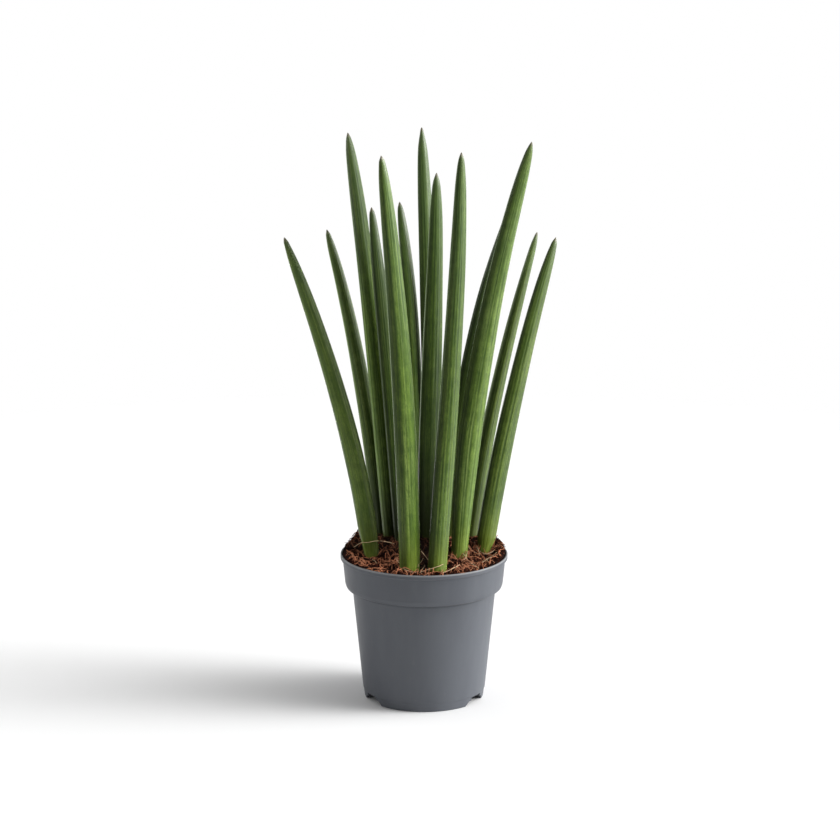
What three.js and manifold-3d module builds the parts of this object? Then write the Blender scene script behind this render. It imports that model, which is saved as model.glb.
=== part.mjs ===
// A cylindrical snake plant: thirteen round, pointed leaves, each rooted on its own
// in a fibrous potting mix, in a round nursery pot.
// Millimetres, +Z up. The origin is the centre of the pot's foot on the ground plane;
// -Y is the front. Every leaf, the mix and the pot are closed solids of their own.
import * as THREE from "three";
import { mergeVertices } from "three/addons/utils/BufferGeometryUtils.js";
import Module from "manifold-3d";

const wasm = await Module();
wasm.setup();

// ---------------------------------------------------------------- driving dimensions
const CLEARANCE = 0.3; // air left between pieces that touch in the real plant

const POT = {
  height: 106, // ground to the top of the lip
  lipRadius: 60, // a 12 cm pot
  lipDepth: 3.2, // height of the rolled lip
  bandTop: 58.3, // outer radius just under the lip
  bandBottom: 56.4, // outer radius at the band's lower edge
  bandEdge: 82, // height of the band's lower edge
  shoulder: 51.6, // wall radius right under the band
  wallFoot: 44.1, // wall radius just above the foot
  footTop: 6.4, // height of the foot ring
  footRadius: 42.9, // outer radius on the ground
  wall: 1.2, // wall thickness
  floorUnder: 5.0, // underside of the raised floor
  floorTop: 6.3,
  segments: 72,
};
const FOOT_GAPS = { centres: [59.5, 179.5, 299.5], halfAngle: 14.5, height: 3.3 }; // degrees from the front
const SIDE_DRAIN = { halfAngle: 8, inner: 35.5, wallHeight: 5.7 };
const FLOOR_DRAINS = { centreRadius: 4, ringRadius: 26, holeRadius: 3.4, count: 6 };

const MIX = {
  bottom: POT.floorTop + CLEARANCE,
  rimRadius: 57.0 - CLEARANCE, // where the surface meets the pot's inside
  rimInset: 0.4,
  segments: 54,
  rings: [56, 50, 43, 36, 29, 22, 15, 8],
};
// Height of the mix: level at the front, higher behind, heaped among the leaves.
const mixHeight = (x, y) => {
  const s = THREE.MathUtils.smoothstep(y, -15, 25);
  const heap = Math.exp(-((x + 2) ** 2) / 648 - (y - 22) ** 2 / 392);
  return 103 + 5.5 * s + 8.5 * heap;
};

const LEAF_SIDES = 14;
// Distances from a leaf's tip, at which its radii are given.
const FROM_TIP = [0, 0.7, 1.8, 4, 8, 14, 22, 34, 52, 80, 120, 170, 220];
// path: the leaf's centre line from its rooted foot to its tip.
// radii: at the distances above. collar: where it enters the mix. foot: radius at its cut end.
const LEAVES = {
  leaf_01: {
    path: [[-34, 2.5, 78], [-40, 0.3, 120.6], [-46.1, -1.8, 157.9], [-53.9, -4.4, 194.9], [-63.2, -7.6, 231.6], [-73.6, -11.2, 267.8], [-85.1, -15.3, 303.7], [-97.4, -20, 339.3]],
    radii: [0, 0.5, 0.95, 1.63, 2.1, 2.74, 3.35, 3.98, 4.66, 5.36, 6.15, 6.82, 6.86],
    collar: { fromTip: 242, radius: 5.39 },
    foot: 4.63,
  },
  leaf_02: {
    path: [[-28.6, 37.8, 88], [-31.3, 39.9, 121.8], [-35.7, 42.4, 157.1], [-40.6, 45.4, 192.3], [-46.4, 48.9, 227.3], [-53.1, 52.8, 262], [-61, 57.2, 296.5], [-70.2, 62, 330.6]],
    radii: [0, 0.5, 0.95, 1.68, 2.26, 2.89, 3.35, 3.83, 4.39, 5.05, 5.79, 6.16, 6.08],
    collar: { fromTip: 227.4, radius: 5.99 },
    foot: 5.15,
  },
  leaf_03: {
    path: [[-20.9, 25.2, 78], [-24.9, 27.2, 125.8], [-28.8, 29.5, 172.1], [-32.8, 32.4, 218.5], [-37.2, 35.9, 264.7], [-42.1, 40, 310.8], [-47.8, 44.7, 356.8], [-54.4, 50, 402.6]],
    radii: [0, 0.5, 0.95, 1.72, 2.49, 3.33, 3.89, 4.55, 5.21, 5.68, 6.09, 6.27, 6.23],
    collar: { fromTip: 297.4, radius: 5.76 },
    foot: 4.95,
  },
  leaf_04: {
    path: [[-13.5, 14, 78], [-17.3, 15.4, 129.3], [-20.2, 16.5, 166.7], [-23.2, 17.7, 204], [-26.4, 19, 241.4], [-29.8, 20.6, 278.7], [-33.4, 22.2, 316], [-37.3, 24, 353.2]],
    radii: [0, 0.5, 0.95, 1.85, 2.4, 2.9, 3.4, 4.04, 4.62, 5.02, 5.32, 5.51, 5.47],
    collar: { fromTip: 239.4, radius: 5.26 },
    foot: 4.52,
  },
  leaf_05: {
    path: [[-9.4, -30.2, 78], [-10.7, -32.9, 130], [-12.1, -35.5, 175.5], [-14.2, -38.6, 221], [-16.9, -42.2, 266.4], [-20.4, -46.2, 311.7], [-24.5, -50.9, 356.9], [-29.3, -56, 402]],
    radii: [0, 0.5, 0.95, 1.95, 2.56, 3.3, 3.95, 4.59, 5.3, 5.99, 6.87, 7.49, 7.82],
    collar: { fromTip: 291.2, radius: 7.43 },
    foot: 6.39,
  },
  leaf_06: {
    path: [[-6.8, 37.8, 78], [-6.6, 39.8, 126.5], [-6.3, 42.4, 164], [-6.6, 45.6, 201.6], [-7.8, 49.4, 239], [-9.9, 53.7, 276.4], [-13.2, 58.6, 313.5], [-17.7, 64, 350.5]],
    radii: [0, 0.5, 0.95, 1.75, 2.39, 2.95, 3.47, 3.95, 4.57, 5.11, 5.49, 5.31, 5.17],
    collar: { fromTip: 240.3, radius: 5.11 },
    foot: 4.4,
  },
  leaf_07: {
    path: [[9, 35.2, 78], [7.3, 37.4, 130.3], [6, 40.1, 176.2], [4.7, 43.2, 222], [3.4, 46.8, 267.8], [1.9, 50.7, 313.6], [0.2, 55.1, 359.3], [-1.7, 60, 405]],
    radii: [0, 0.5, 0.95, 1.34, 2.16, 3.11, 3.75, 4.32, 4.83, 5.27, 5.72, 6.12, 6.24],
    collar: { fromTip: 293.3, radius: 6.02 },
    foot: 5.18,
  },
  leaf_08: {
    path: [[2.4, 18.6, 78], [3.1, 17.8, 140.6], [3.7, 17.2, 180.5], [4.8, 16.5, 220.3], [6, 15.6, 260.2], [7.2, 14.6, 300], [8.2, 13.4, 339.8], [8.7, 12, 379.6]],
    radii: [0, 0.5, 0.95, 1.77, 2.71, 3.4, 4.09, 4.8, 5.39, 6.02, 6.92, 7.55, 7.68],
    collar: { fromTip: 254.4, radius: 7.59 },
    foot: 6.53,
  },
  leaf_09: {
    path: [[7.3, -36.3, 78], [10.7, -38.8, 129], [13.7, -41.4, 175.1], [16.8, -44.5, 221.2], [19.6, -48.2, 267.3], [22.1, -52.5, 313.3], [24, -57.5, 359.3], [25.2, -63, 405.2]],
    radii: [0, 0.5, 0.95, 1.72, 2.45, 3.09, 3.71, 4.3, 4.89, 5.64, 6.19, 6.73, 7.05],
    collar: { fromTip: 295.4, radius: 6.94 },
    foot: 5.97,
  },
  leaf_10: {
    path: [[18.2, 24.2, 78], [20.3, 25.5, 126.4], [22.7, 27.2, 163.4], [27, 29.4, 200.2], [33.1, 31.9, 236.7], [40.7, 34.8, 272.9], [49.5, 38.2, 308.9], [59.3, 42, 344.5]],
    radii: [0, 0.5, 0.95, 1.63, 2.2, 2.75, 3.33, 4.15, 5.17, 6.02, 6.29, 5.78, 5.49],
    collar: { fromTip: 237, radius: 5.37 },
    foot: 4.62,
  },
  leaf_11: {
    path: [[23.6, -4.5, 78], [26.5, -6.8, 127.8], [30.3, -9.4, 175.2], [35.9, -12.6, 222.4], [43.1, -16.5, 269.3], [51.9, -21, 315.9], [62.3, -26.2, 362.1], [73.9, -32, 407.9]],
    radii: [0, 0.5, 0.95, 1.61, 2.53, 3.26, 4, 4.69, 5.38, 6.14, 7.15, 8.09, 8.28],
    collar: { fromTip: 304, radius: 6.01 },
    foot: 5.17,
  },
  leaf_12: {
    path: [[29.5, 32.6, 78], [36.2, 34.5, 124.7], [41.6, 37.4, 159.3], [48.1, 40.9, 193.7], [55.4, 44.9, 227.9], [63.5, 49.4, 261.9], [72.3, 54.5, 295.6], [81.6, 60, 329.1]],
    radii: [0, 0.5, 0.95, 1.39, 2, 2.49, 2.86, 3.31, 3.87, 4.45, 4.97, 5.5],
    collar: { fromTip: 224.7, radius: 5.02 },
    foot: 4.32,
  },
  leaf_13: {
    path: [[39.3, 9.2, 78], [45.9, 11.7, 120.7], [52, 14, 156.2], [58.9, 16.9, 191.4], [66.6, 20.3, 226.4], [74.8, 24.3, 261.2], [84, 28.9, 295.8], [94.1, 34, 329.9]],
    radii: [0, 0.5, 0.95, 1.81, 2.44, 3.14, 3.75, 4.42, 5.04, 5.65, 6.38, 6.96, 6.79],
    collar: { fromTip: 229.9, radius: 5.22 },
    foot: 4.49,
  },
};

// ---------------------------------------------------------------- helpers
const v2 = (pairs) => pairs.map(([r, z]) => new THREE.Vector2(r, z));
const rad = THREE.MathUtils.degToRad;

// A closed geometry as a solid.
function toSolid(geometry) {
  const bare = geometry.clone();
  bare.deleteAttribute("normal");
  bare.deleteAttribute("uv");
  const merged = mergeVertices(bare, 1e-4);
  const index = [];
  const src = merged.index.array;
  for (let i = 0; i < src.length; i += 3) {
    const [a, b, c] = [src[i], src[i + 1], src[i + 2]];
    if (a !== b && b !== c && a !== c) index.push(a, b, c);
  }
  return new wasm.Manifold(
    new wasm.Mesh({
      numProp: 3,
      vertProperties: new Float32Array(merged.attributes.position.array),
      triVerts: new Uint32Array(index),
    }),
  );
}

function toGeometry(solid) {
  const m = solid.getMesh();
  const xyz = new Float32Array(m.numVert * 3);
  for (let i = 0; i < m.numVert; i++)
    xyz.set(m.vertProperties.subarray(i * m.numProp, i * m.numProp + 3), i * 3);
  const g = new THREE.BufferGeometry();
  g.setAttribute("position", new THREE.BufferAttribute(xyz, 3));
  g.setIndex(new THREE.BufferAttribute(new Uint32Array(m.triVerts), 1));
  g.computeVertexNormals();
  return g;
}

// A profile of [radius, height] turned about +Z.
function turned(profile, segments) {
  const g = new THREE.LatheGeometry(v2(profile), segments);
  g.rotateX(Math.PI / 2);
  return g;
}

// A block whose middle points away from the axis at `angle` degrees from the front.
function radialBlock(angle, r0, r1, width, z0, z1) {
  const g = new THREE.BoxGeometry(width, r1 - r0, z1 - z0);
  g.translate(0, -(r0 + r1) / 2, (z0 + z1) / 2);
  g.rotateZ(rad(angle));
  return g;
}

// ---------------------------------------------------------------- pot
function makePot() {
  const P = POT;
  const t = P.wall;
  const outerAt = (z) =>
    THREE.MathUtils.mapLinear(z, P.footTop, P.bandEdge, P.wallFoot, P.shoulder);
  const profile = [
    [P.footRadius - 1.7, 0],
    [P.footRadius - 0.3, 0],
    [P.footRadius, 0.3],
    [P.wallFoot - 0.45, P.footTop - 0.3],
    [P.wallFoot, P.footTop + 0.3],
    [P.shoulder - 0.1, P.bandEdge - 1.6],
    [P.shoulder + 0.3, P.bandEdge - 0.9],
    [P.shoulder + 1.1, P.bandEdge - 0.6],
    [P.bandBottom - 1.9, P.bandEdge - 0.3],
    [P.bandBottom - 0.7, P.bandEdge + 0.5],
    [P.bandBottom, P.bandEdge + 2.2],
    [P.bandTop, P.height - P.lipDepth - 0.9],
    [P.lipRadius - 0.25, P.height - P.lipDepth],
    [P.lipRadius, P.height - P.lipDepth + 0.7],
    [P.lipRadius, P.height - 0.8],
    [P.lipRadius - 0.6, P.height],
    [P.lipRadius - 1.7, P.height],
    [P.bandTop - t, P.height - 1.0],
    [P.bandBottom - t, P.bandEdge + 2.0],
    [P.shoulder - t + 0.4, P.bandEdge - 1.6],
    [P.shoulder - t - 0.1, P.bandEdge - 3.4],
    [outerAt(P.floorTop + 3) - t, P.floorTop + 3],
    [outerAt(P.floorTop + 3) - t - 2.4, P.floorTop],
    [0, P.floorTop],
    [0, P.floorUnder],
    [P.footRadius - 1.9, P.floorUnder],
    [P.footRadius - 1.7, 0],
  ];
  let pot = toSolid(turned(profile, P.segments));
  const cutters = [];
  for (const centre of FOOT_GAPS.centres) {
    // The gap between two feet has flanks that lean outwards.
    const w0 = 2 * P.footRadius * Math.sin(rad(FOOT_GAPS.halfAngle));
    const w1 = w0 - 5;
    const outline = new THREE.Shape();
    outline.moveTo(-w0 / 2 - 1, -1);
    outline.lineTo(w0 / 2 + 1, -1);
    outline.lineTo(w1 / 2, FOOT_GAPS.height);
    outline.lineTo(-w1 / 2, FOOT_GAPS.height);
    outline.closePath();
    const gap = new THREE.ExtrudeGeometry(outline, {
      depth: 16,
      bevelEnabled: false,
    });
    gap.rotateX(Math.PI / 2); // drawn upright, it now runs out towards the front
    gap.translate(0, -34, 0);
    gap.rotateZ(rad(centre));
    cutters.push(gap);
    const w = 2 * P.footRadius * Math.sin(rad(SIDE_DRAIN.halfAngle));
    cutters.push(radialBlock(centre, 40.4, 50, w, -1, SIDE_DRAIN.wallHeight));
    cutters.push(
      radialBlock(centre, SIDE_DRAIN.inner, 41.9, w, -1, P.floorTop + 1),
    );
  }
  const hole = (r, x, y) =>
    new THREE.CylinderGeometry(r, r, 6, 20)
      .rotateX(Math.PI / 2)
      .translate(x, y, P.floorUnder);
  cutters.push(hole(FLOOR_DRAINS.centreRadius, 0, 0));
  for (let i = 0; i < FLOOR_DRAINS.count; i++) {
    const a = rad(29.5 + (360 / FLOOR_DRAINS.count) * i);
    cutters.push(
      hole(
        FLOOR_DRAINS.holeRadius,
        FLOOR_DRAINS.ringRadius * Math.sin(a),
        -FLOOR_DRAINS.ringRadius * Math.cos(a),
      ),
    );
  }
  for (const c of cutters) pot = pot.subtract(toSolid(c));
  return pot;
}

// ---------------------------------------------------------------- leaves
// Radius of a leaf against the distance from its tip, and its whole length.
function girth(leaf) {
  const curve = new THREE.CatmullRomCurve3(
    leaf.path.map((p) => new THREE.Vector3(...p)),
    false,
    "centripetal",
  );
  curve.arcLengthDivisions = 400;
  const length = curve.getLength();
  const stations = leaf.radii.map((r, i) => [FROM_TIP[i], r]);
  stations.push([leaf.collar.fromTip, leaf.collar.radius]);
  stations.push([length, leaf.foot]);
  return { curve, length, stations };
}

// A turned spindle, bent along the leaf's centre line. grow fattens it for its socket.
function makeLeaf(leaf, grow = 0) {
  const { curve, length, stations } = girth(leaf);
  const profile = [[0, -grow]];
  for (const [d, r] of [...stations].reverse())
    if (d > 0) profile.push([r + grow, d === length ? -grow : length - d]);
  profile.push([0, length + grow]);
  const g = new THREE.LatheGeometry(v2(profile), LEAF_SIDES);
  const pos = g.attributes.position;
  const side = new THREE.Vector3();
  const up = new THREE.Vector3();
  const out = new THREE.Vector3();
  for (let i = 0; i < pos.count; i++) {
    const s = THREE.MathUtils.clamp(pos.getY(i), 0, length);
    const over = pos.getY(i) - s;
    const tangent = curve.getTangentAt(s / length);
    const centre = curve.getPointAt(s / length).addScaledVector(tangent, over);
    side.set(1, 0, 0).addScaledVector(tangent, -tangent.x).normalize();
    up.crossVectors(tangent, side);
    out
      .copy(centre)
      .addScaledVector(side, pos.getX(i))
      .addScaledVector(up, -pos.getZ(i));
    pos.setXYZ(i, out.x, out.y, out.z);
  }
  return toSolid(g);
}

// ---------------------------------------------------------------- potting mix
function makeMix(leaves) {
  const P = POT;
  const innerWall = (z) =>
    THREE.MathUtils.mapLinear(z, P.footTop, P.bandEdge, P.wallFoot, P.shoulder) -
    P.wall -
    CLEARANCE;
  const inner = [
    [0, MIX.bottom],
    [innerWall(P.floorTop + 3) - 2.6, MIX.bottom],
    [innerWall(P.floorTop + 3) - 0.1, P.floorTop + 3 + CLEARANCE],
    [P.shoulder - P.wall - CLEARANCE - 0.4, P.bandEdge - 3.4],
    [P.shoulder - P.wall - CLEARANCE, P.bandEdge - 1.6],
    [P.bandBottom - P.wall - CLEARANCE - 0.1, P.bandEdge + 2.3],
    [MIX.rimRadius - 0.35, 100],
  ];
  const top = MIX.rings.map((r) => [r, 104]);
  const g = turned([...inner, ...top, [0, 104]], MIX.segments);
  const pos = g.attributes.position;
  for (let i = 0; i < pos.count; i++)
    if (pos.getZ(i) > 103.9)
      pos.setZ(i, mixHeight(pos.getX(i), pos.getY(i)));
  let mix = toSolid(g);
  for (const leaf of Object.values(leaves))
    mix = mix.subtract(makeLeaf(leaf, CLEARANCE));
  return mix;
}

// ---------------------------------------------------------------- assembly
const plastic = new THREE.MeshStandardMaterial({
  name: "grey_plastic",
  color: 0x63666a,
  roughness: 0.5,
  metalness: 0,
});
const coir = new THREE.MeshStandardMaterial({
  name: "coir_mix",
  color: 0x5e3626,
  roughness: 0.95,
  metalness: 0,
});
const leafGreen = new THREE.MeshStandardMaterial({
  name: "leaf_green",
  color: 0x46662f,
  roughness: 0.45,
  metalness: 0,
});

const plant = new THREE.Group();
plant.name = "cylindrical_snake_plant";

function addPiece(parent, name, solid, material) {
  const mesh = new THREE.Mesh(toGeometry(solid), material);
  mesh.name = name;
  parent.add(mesh);
}

addPiece(plant, "nursery_pot", makePot(), plastic);
addPiece(plant, "potting_mix", makeMix(LEAVES), coir);
const clump = new THREE.Group();
clump.name = "leaves";
for (const [name, leaf] of Object.entries(LEAVES))
  addPiece(clump, name, makeLeaf(leaf), leafGreen);
plant.add(clump);

export default plant;
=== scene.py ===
"""Looks of a cylindrical snake plant in its nursery pot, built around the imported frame.
Metres, +Z up, -Y is the front. Lengths below are written in millimetres and scaled once, by MM."""

import bpy
import bmesh
import math
import numpy as np
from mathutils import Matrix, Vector


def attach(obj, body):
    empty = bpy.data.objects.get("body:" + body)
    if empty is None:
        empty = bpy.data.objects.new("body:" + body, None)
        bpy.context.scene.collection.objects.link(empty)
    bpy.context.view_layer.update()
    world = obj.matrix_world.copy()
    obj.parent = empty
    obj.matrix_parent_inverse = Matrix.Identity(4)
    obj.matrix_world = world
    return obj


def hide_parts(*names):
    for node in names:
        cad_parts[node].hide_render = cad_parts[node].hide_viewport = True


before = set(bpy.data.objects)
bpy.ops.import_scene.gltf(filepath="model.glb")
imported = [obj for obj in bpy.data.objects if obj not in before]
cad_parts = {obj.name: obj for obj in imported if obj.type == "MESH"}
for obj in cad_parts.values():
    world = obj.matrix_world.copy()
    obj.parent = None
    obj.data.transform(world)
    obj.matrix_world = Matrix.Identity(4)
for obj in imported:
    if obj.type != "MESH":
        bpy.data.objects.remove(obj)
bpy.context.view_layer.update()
MM = 0.001
SEED = 20261

# ------------------------------------------------------------------ camera and light
# The camera stands 2.14 m in front of the pot and 0.71 m up, and looks down by 13.4 degrees.
cam_data = bpy.data.cameras.new("view")
cam_data.sensor_width = 36.0
cam_data.lens = 3092.0 * 36.0 / 840.0
cam_data.clip_end = 60.0
cam = bpy.data.objects.new("view", cam_data)
cam.location = (-0.0029, -2.140, 0.713)
cam.rotation_euler = (math.radians(90.0 - 13.38), 0.0, 0.0)
bpy.context.scene.collection.objects.link(cam)
bpy.context.scene.camera = cam

scene = bpy.context.scene
scene.view_settings.view_transform = "Standard"
scene.view_settings.look = "None"
scene.view_settings.exposure = 0.0
scene.view_settings.gamma = 1.0

FILL_BACK, FILL_LEFT = 0.60, 0.84
FLOOR_FADE = (0.66, 1.00)  # the floor fades into the white of the studio between these radii
# azimuth, spread, radiance at the horizon, half way up and overhead
STRIPS = [
    (78.0, 10.0, 8.2, 0.0, 0.0),
    (88.0, 10.0, 10.4, 2.8, 1.8),
    (88.0, 20.0, 5.5, 0.0, 0.0),
    (98.0, 20.0, 3.1, 0.0, 0.0),
]
# The light: a tall strip of soft light on the right, brightest low down, and a weak fill from the back and the left.
world = bpy.data.worlds.new("studio")
world.use_nodes = True
scene.world = world
wt = world.node_tree
sky = wt.nodes["Background"]
sky.inputs["Color"].default_value = (1.0, 1.0, 1.0, 1.0)


def wmath(op, *values):
    n = wt.nodes.new("ShaderNodeMath")
    n.operation = op
    for socket, v in zip(n.inputs, values):
        if isinstance(v, bpy.types.NodeSocket):
            wt.links.new(v, socket)
        else:
            socket.default_value = v
    return n.outputs[0]


split = wt.nodes.new("ShaderNodeSeparateXYZ")
wt.links.new(wt.nodes.new("ShaderNodeTexCoord").outputs["Generated"], split.inputs[0])
wx, wy, wz = split.outputs
rise = wmath("DIVIDE", wmath("ARCSINE", wmath("MAXIMUM", wz, 0.0)), math.pi / 2)
fall = wmath("SUBTRACT", 1.0, rise)


def strip_light(azimuth, spread, low, middle, high):
    """Radiance of an upright strip at an azimuth from the front towards the right; spread in degrees."""
    a = math.radians(azimuth)
    side = wmath("ADD", wmath("MULTIPLY", wx, math.cos(a)), wmath("MULTIPLY", wy, math.sin(a)))
    ahead = wmath("SUBTRACT", wmath("MULTIPLY", wx, math.sin(a)), wmath("MULTIPLY", wy, math.cos(a)))
    q = wmath("DIVIDE", side, math.sin(math.radians(spread)))
    glow = wmath("EXPONENT", wmath("MULTIPLY", wmath("MULTIPLY", q, q), -1.0))
    gate = wmath("DIVIDE", 1.0, wmath("ADD", 1.0, wmath("EXPONENT", wmath("MULTIPLY", wmath("ADD", ahead, 0.05), -12.5))))
    profile = wmath("MULTIPLY", wmath("MULTIPLY", fall, fall), low)
    profile = wmath("ADD", profile, wmath("MULTIPLY", wmath("MULTIPLY", fall, rise), 2.0 * middle))
    profile = wmath("ADD", profile, wmath("MULTIPLY", wmath("MULTIPLY", rise, rise), high))
    return wmath("MULTIPLY", wmath("MULTIPLY", glow, gate), profile)


light = wmath("ADD", wmath("MULTIPLY", wmath("MAXIMUM", wy, 0.0), FILL_BACK), wmath("MULTIPLY", wmath("MAXIMUM", wmath("MULTIPLY", wx, -1.0), 0.0), FILL_LEFT))
for strip in STRIPS:
    light = wmath("ADD", light, strip_light(*strip))
# nothing shines from below the horizon
light = wmath("MULTIPLY", light, wmath("MINIMUM", wmath("MAXIMUM", wmath("MULTIPLY", wz, 40.0), 0.0), 1.0))
wt.links.new(light, sky.inputs["Strength"])
# behind everything the studio is plain white
plain = wt.nodes.new("ShaderNodeBackground")
plain.inputs["Color"].default_value = (1.0, 1.0, 1.0, 1.0)
plain.inputs["Strength"].default_value = 1.0
join = wt.nodes.new("ShaderNodeMixShader")
wt.links.new(wt.nodes.new("ShaderNodeLightPath").outputs["Is Camera Ray"], join.inputs[0])
wt.links.new(sky.outputs[0], join.inputs[1])
wt.links.new(plain.outputs[0], join.inputs[2])
wt.links.new(join.outputs[0], wt.nodes["World Output"].inputs["Surface"])

# a soft key from the front right, flagged off the floor and the pot: it lights only what is in its receiver group
lit = bpy.data.collections.new("leaf_key_receivers")
outer = bpy.data.collections.new("outer_left_receivers")
first = bpy.data.collections.new("first_leaf_receivers")
rim = bpy.data.collections.new("rim_receivers")
right = bpy.data.collections.new("right_leaf_receivers")
gleam = bpy.data.collections.new("gleam_receivers")
edged = bpy.data.collections.new("all_leaf_receivers")
bright = bpy.data.collections.new("bright_leaf_receivers")
sixth = bpy.data.collections.new("sixth_leaf_receivers")
mix_lit = bpy.data.collections.new("mix_receivers")


def key_lamp(name, azimuth, elevation, spread, energy, only_gloss=False, receivers=lit, shadows=True, tint=(1, 1, 1)):
    lamp = bpy.data.lights.new(name, "SUN")
    lamp.angle = math.radians(spread)
    lamp.energy = energy
    lamp.color = tint
    ob = bpy.data.objects.new(name, lamp)
    ob.rotation_euler = (math.radians(90.0 - elevation), 0.0, math.radians(azimuth))
    scene.collection.objects.link(ob)
    ob.light_linking.receiver_collection = receivers
    ob.visible_diffuse = not only_gloss
    lamp.use_shadow = shadows
    return ob


# name, azimuth, elevation, spread, strength
KEYS = [
    ("leaf_key", 50.0, 38.0, 24.0, 8.8),
    ("leaf_key_low", 65.0, 12.0, 22.0, 2.2),
    ("leaf_gleam", 94.0, 15.0, 24.0, 12.0, True, gleam),
    ("leaf_side", -95.0, 15.0, 24.0, 3.0, False, outer),
    ("first_key", -32.0, 36.0, 40.0, 4.0, False, first),
    ("right_key", 70.0, 24.0, 22.0, 3.5, False, right),
    ("leaf_edge", -142.0, -13.0, 40.0, 0.65, True, edged, False, (0.84, 1.0, 0.68)),
    ("leaf_edge_right", 142.0, -13.0, 50.0, 0.9, True, edged, False, (0.88, 1.0, 0.76)),
    ("bright_gleam", 94.0, 15.0, 24.0, 6.0, True, bright),
    ("mix_key", 50.0, 34.0, 10.0, 4.0, False, mix_lit),
    ("mix_fill", -42.0, 22.0, 8.0, 1.8, False, mix_lit),
    ("leaf_rim", -120.0, 32.0, 20.0, 3.8, False, rim),
    ("leaf_rear", 125.0, 14.0, 24.0, 0.8),
    ("sixth_fill", 88.0, 8.0, 30.0, 1.8, False, sixth, False),
]
for spec in KEYS:
    key_lamp(*spec)


# ------------------------------------------------------------------ noise and mesh helpers
def noise3(p, seed=0):
    """Smooth gradient noise, about -1 to 1, at the rows of p."""
    p = np.asarray(p, float)
    i = np.floor(p).astype(np.int64)
    f = p - i
    u = f * f * f * (f * (f * 6 - 15) + 10)

    def corner(dx, dy, dz):
        h = (
            (i[:, 0] + dx) * 374761393
            + (i[:, 1] + dy) * 668265263
            + (i[:, 2] + dz) * 1274126177
            + seed * 974634777
        ) & 0xFFFFFFFF
        h = ((h ^ (h >> 13)) * 1103515245) & 0xFFFFFFFF
        h = (h ^ (h >> 16)) & 0xFFFFFFFF
        a = (h & 0xFFFF) / 65535.0 * 2 * math.pi
        c = ((h >> 16) & 0xFFFF) / 65535.0 * 2 - 1
        s = np.sqrt(np.maximum(0, 1 - c * c))
        return (
            np.cos(a) * s * (f[:, 0] - dx)
            + np.sin(a) * s * (f[:, 1] - dy)
            + c * (f[:, 2] - dz)
        )

    def mix(a, b, t):
        return a + (b - a) * t

    x00 = mix(corner(0, 0, 0), corner(1, 0, 0), u[:, 0])
    x10 = mix(corner(0, 1, 0), corner(1, 1, 0), u[:, 0])
    x01 = mix(corner(0, 0, 1), corner(1, 0, 1), u[:, 0])
    x11 = mix(corner(0, 1, 1), corner(1, 1, 1), u[:, 0])
    return 1.7 * mix(mix(x00, x10, u[:, 1]), mix(x01, x11, u[:, 1]), u[:, 2])


def fbm(p, octaves=4, seed=0, gain=0.5):
    p = np.asarray(p, float)
    total, amp, norm = 0.0, 1.0, 0.0
    for k in range(octaves):
        total = total + amp * noise3(p * 2.03**k + 17.3 * k, seed + k)
        norm += amp
        amp *= gain
    return total / norm


def smoothstep(x, a, b):
    t = np.clip((np.asarray(x, float) - a) / (b - a), 0, 1)
    return t * t * (3 - 2 * t)


def build_mesh(name, co, quads=(), tris=(), attrs=None, smooth=True):
    """A mesh object from coordinates in millimetres. attrs: name to an (n,) or (n, 3) array on the points."""
    quads = np.asarray(quads, np.int32).reshape(-1, 4)
    tris = np.asarray(tris, np.int32).reshape(-1, 3)
    me = bpy.data.meshes.new(name)
    me.vertices.add(len(co))
    me.vertices.foreach_set("co", (np.asarray(co, float) * MM).astype(np.float32).ravel())
    me.loops.add(quads.size + tris.size)
    me.loops.foreach_set("vertex_index", np.concatenate([quads.ravel(), tris.ravel()]))
    me.polygons.add(len(quads) + len(tris))
    me.polygons.foreach_set(
        "loop_start",
        np.concatenate(
            [np.arange(len(quads)) * 4, quads.size + np.arange(len(tris)) * 3]
        ).astype(np.int32),
    )
    me.update(calc_edges=True)
    me.validate()
    me.polygons.foreach_set("use_smooth", np.full(len(me.polygons), smooth))
    for key_, val in (attrs or {}).items():
        val = np.asarray(val, np.float32)
        if val.ndim == 1:
            a = me.attributes.new(key_, "FLOAT", "POINT")
            a.data.foreach_set("value", val)
        else:
            a = me.attributes.new(key_, "FLOAT_VECTOR", "POINT")
            a.data.foreach_set("vector", val.ravel())
    ob = bpy.data.objects.new(name, me)
    scene.collection.objects.link(ob)
    return ob


def grid_faces(rows, cols, base=0, wrap=True):
    """Quads of a grid of rows by cols points, closed round the columns if wrap. Row 0 is the lowest."""
    r = np.arange(rows - 1)[:, None]
    c = np.arange(cols if wrap else cols - 1)[None, :]
    n = (c + 1) % cols
    a, b = r * cols + c, r * cols + n
    d, e = (r + 1) * cols + c, (r + 1) * cols + n
    return np.stack([a, b, e, d], -1).reshape(-1, 4) + base


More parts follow.
